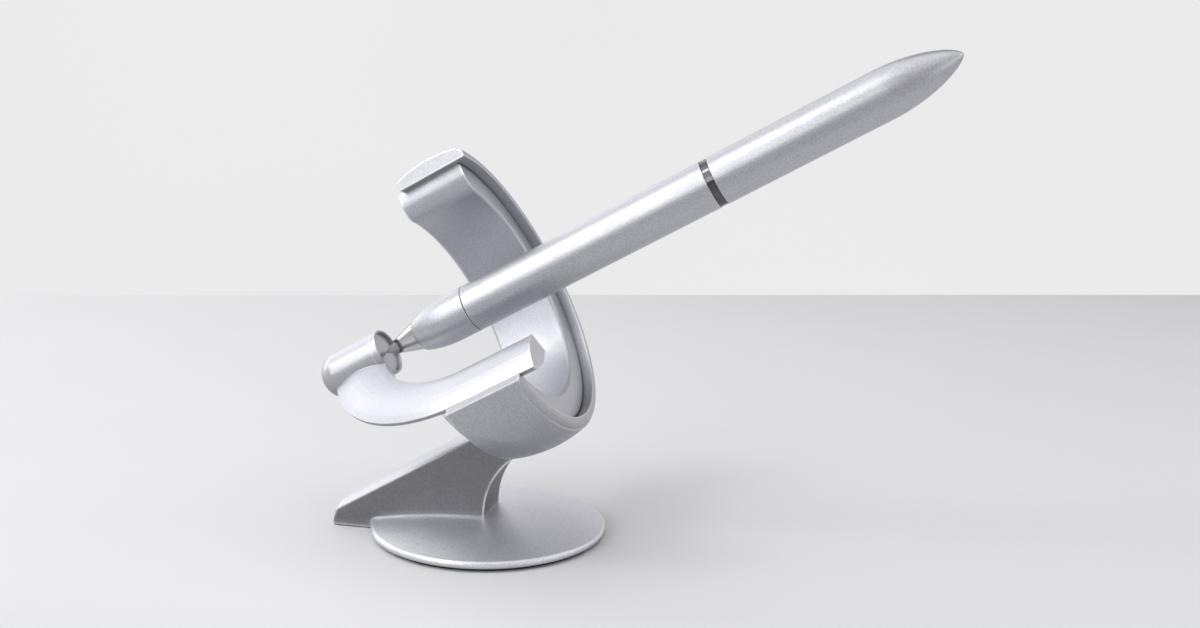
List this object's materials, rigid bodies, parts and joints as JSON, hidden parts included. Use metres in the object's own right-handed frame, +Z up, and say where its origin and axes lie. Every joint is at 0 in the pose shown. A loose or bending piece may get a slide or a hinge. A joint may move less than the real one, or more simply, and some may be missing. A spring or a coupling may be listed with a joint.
{
  "type": "magnetic pen stand with pen",
  "caption": "Desk pen stand: a domed disc and slanted fin carry an open ring and a curved arm, whose small cup and magnets hold a twist pen at a slant by its point.",
  "frame": {"origin": "centre of the round base pad, on the desk", "axes": "+X horizontal, from the pen's point toward its tail; +Y toward the closed side of the ring; +Z up"},
  "size_m": [0.1275, 0.0605, 0.1008],
  "materials": {
    "stand_paint": "satin",
    "ring_paint": "satin",
    "pen_paint": "satin",
    "pad_rubber": "matte",
    "polished_steel": "polished",
    "contact_steel": "brushed",
    "magnet_plate": "plated",
    "fastener_steel": "plain",
    "refill_brass": "polished",
    "refill_metal": "satin",
    "inner_plastic": "matte"
  },
  "bodies": {
    "stand": {"base_disc": "stand_paint", "base_pad": "pad_rubber", "support_fin": "stand_paint", "base_screws": "fastener_steel", "fin_dowels": "fastener_steel", "ring_shell": "ring_paint", "ring_liner": "ring_paint", "ring_magnets": "magnet_plate", "front_arm": "ring_paint", "arm_pins": "fastener_steel", "tip_cup": "ring_paint", "cup_collar": "ring_paint", "cup_magnet": "magnet_plate", "cup_screw": "fastener_steel"},
    "pivot": {"contact_disc": "contact_steel"},
    "pen_lower": {"tip_cone": "polished_steel", "nose_section": "pen_paint", "lower_barrel": "pen_paint", "centre_band": "polished_steel", "pen_magnet": "magnet_plate", "magnet_sleeve": "inner_plastic", "refill_spring": "fastener_steel", "twist_sleeve": "refill_brass"},
    "refill": {"point_ball": "polished_steel", "refill_point": "refill_brass", "refill_tube": "refill_metal", "refill_plunger": "inner_plastic"},
    "pen_upper": {"upper_barrel": "pen_paint", "twist_cam": "inner_plastic", "cam_retainer": "inner_plastic"}
  },
  "joints": [
    {"name": "pen_spin", "type": "hinge", "parent": "stand", "child": "pivot", "pos_m": [-0.0228, 0, 0.0371], "axis": [0.8746, 0, 0.4848], "continuous": true},
    {"name": "pen_lift", "type": "slide", "parent": "pivot", "child": "pen_lower", "axis": [0.8746, 0, 0.4848], "range_m": [0, 0.06]},
    {"name": "barrel_twist", "type": "hinge", "parent": "pen_lower", "child": "pen_upper", "pos_m": [-0.0228, 0, 0.0371], "axis": [0.8746, 0, 0.4848], "range_deg": [0, 180]},
    {"name": "refill_travel", "type": "slide", "parent": "pen_lower", "child": "refill", "axis": [0.8746, 0, 0.4848], "range_m": [0, 0.005], "deforming": ["refill_spring"]}
  ],
  "couplings": [
    {"joint": "refill_travel", "follows": "barrel_twist", "m_per_rad": 0.0015915}
  ]
}
